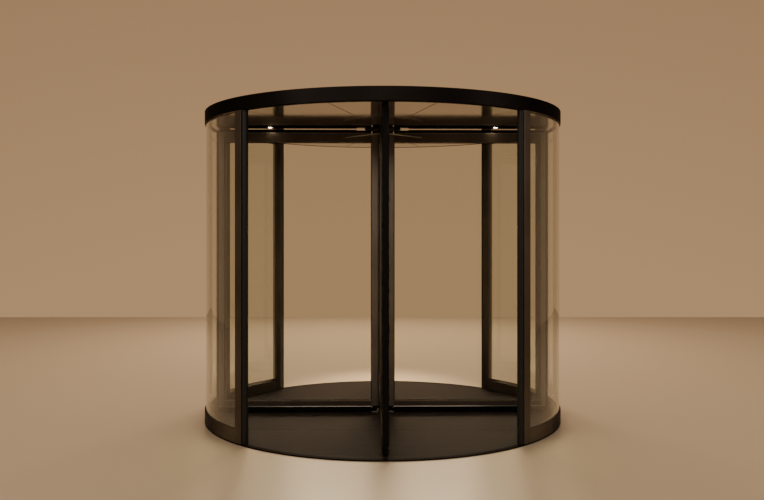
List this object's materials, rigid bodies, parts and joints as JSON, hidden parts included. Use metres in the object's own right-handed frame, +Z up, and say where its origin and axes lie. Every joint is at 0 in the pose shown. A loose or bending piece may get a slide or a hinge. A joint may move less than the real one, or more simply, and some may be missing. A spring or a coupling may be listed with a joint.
{
  "type": "revolving door",
  "caption": "Revolving door: a round drum with curved glass walls, canopy and floor mat, and a turning cross of framed glass wings with brush seals that fold flat for escape.",
  "frame": {"origin": "centre of the underside, on the floor at the turning axis", "axes": "+Z up along the turning axis; -Y faces out through the front throat; +X to the right seen from the front"},
  "size_m": [2.94, 2.9398, 2.5],
  "materials": {
    "bronze_frame": "satin dark bronze",
    "canopy_bronze": "satin dark bronze",
    "safety_rubber": "matt black",
    "brush_fibre": "black bristle",
    "clear_glass": "clear",
    "ceiling_mirror": "polished bronze tint",
    "entrance_mat": "ribbed dark carpet",
    "shaft_steel": "brushed",
    "light_lens": "frosted"
  },
  "bodies": {
    "drum": {"floor_ring": "canopy_bronze", "entrance_mat": "entrance_mat", "floor_bearing": "shaft_steel", "left_front_sill": "bronze_frame", "left_rear_sill": "bronze_frame", "right_front_sill": "bronze_frame", "right_rear_sill": "bronze_frame", "left_mullion": "bronze_frame", "right_mullion": "bronze_frame", "left_front_post": "bronze_frame", "left_rear_post": "bronze_frame", "right_front_post": "bronze_frame", "right_rear_post": "bronze_frame", "left_front_nose": "safety_rubber", "left_rear_nose": "safety_rubber", "right_front_nose": "safety_rubber", "right_rear_nose": "safety_rubber", "left_front_glass": "clear_glass", "left_rear_glass": "clear_glass", "right_front_glass": "clear_glass", "right_rear_glass": "clear_glass", "canopy_ring": "canopy_bronze", "canopy_cover": "canopy_bronze", "ceiling_panels": "ceiling_mirror", "ceiling_hub": "canopy_bronze", "ceiling_lights": "light_lens"},
    "rotor": {"centre_shaft": "shaft_steel", "bottom_hub": "canopy_bronze", "top_hub": "canopy_bronze"},
    "front_wing": {"front_wing_stiles": "bronze_frame", "front_wing_rails": "bronze_frame", "front_wing_glass": "clear_glass", "front_wing_seals": "brush_fibre"},
    "right_wing": {"right_wing_stiles": "bronze_frame", "right_wing_rails": "bronze_frame", "right_wing_glass": "clear_glass", "right_wing_seals": "brush_fibre"},
    "rear_wing": {"rear_wing_stiles": "bronze_frame", "rear_wing_rails": "bronze_frame", "rear_wing_glass": "clear_glass", "rear_wing_seals": "brush_fibre"},
    "left_wing": {"left_wing_stiles": "bronze_frame", "left_wing_rails": "bronze_frame", "left_wing_glass": "clear_glass", "left_wing_seals": "brush_fibre"},
    "front_stay": {"front_wing_stay": "shaft_steel"},
    "right_stay": {"right_wing_stay": "shaft_steel"},
    "rear_stay": {"rear_wing_stay": "shaft_steel"},
    "left_stay": {"left_wing_stay": "shaft_steel"}
  },
  "joints": [
    {"name": "rotor_spin", "type": "hinge", "parent": "drum", "child": "rotor", "pos_m": [0, 0, 0], "axis": [0, 0, 1], "continuous": true},
    {"name": "front_wing_fold", "type": "hinge", "parent": "rotor", "child": "front_wing", "pos_m": [0.00092, -0.06599, 0], "axis": [0, 0, 1], "range_deg": [0, 85]},
    {"name": "right_wing_fold", "type": "hinge", "parent": "rotor", "child": "right_wing", "pos_m": [0.06599, 0.00092, 0], "axis": [0, 0, 1], "range_deg": [0, 85]},
    {"name": "rear_wing_fold", "type": "hinge", "parent": "rotor", "child": "rear_wing", "pos_m": [-0.00092, 0.06599, 0], "axis": [0, 0, 1], "range_deg": [0, 85]},
    {"name": "left_wing_fold", "type": "hinge", "parent": "rotor", "child": "left_wing", "pos_m": [-0.06599, -0.00092, 0], "axis": [0, 0, 1], "range_deg": [0, 85]},
    {"name": "front_stay_fold", "type": "hinge", "parent": "front_wing", "child": "front_stay", "pos_m": [0.04189, -0.31445, 0], "axis": [0, 0, 1], "range_deg": [-135, 0]},
    {"name": "right_stay_fold", "type": "hinge", "parent": "right_wing", "child": "right_stay", "pos_m": [0.31445, 0.04189, 0], "axis": [0, 0, 1], "range_deg": [-135, 0]},
    {"name": "rear_stay_fold", "type": "hinge", "parent": "rear_wing", "child": "rear_stay", "pos_m": [-0.04189, 0.31445, 0], "axis": [0, 0, 1], "range_deg": [-135, 0]},
    {"name": "left_stay_fold", "type": "hinge", "parent": "left_wing", "child": "left_stay", "pos_m": [-0.31445, -0.04189, 0], "axis": [0, 0, 1], "range_deg": [-135, 0]}
  ],
  "couplings": [
    {"joint": "front_stay_fold", "follows": "front_wing_fold", "ratio": -1.5882},
    {"joint": "right_stay_fold", "follows": "right_wing_fold", "ratio": -1.5882},
    {"joint": "rear_stay_fold", "follows": "rear_wing_fold", "ratio": -1.5882},
    {"joint": "left_stay_fold", "follows": "left_wing_fold", "ratio": -1.5882}
  ]
}
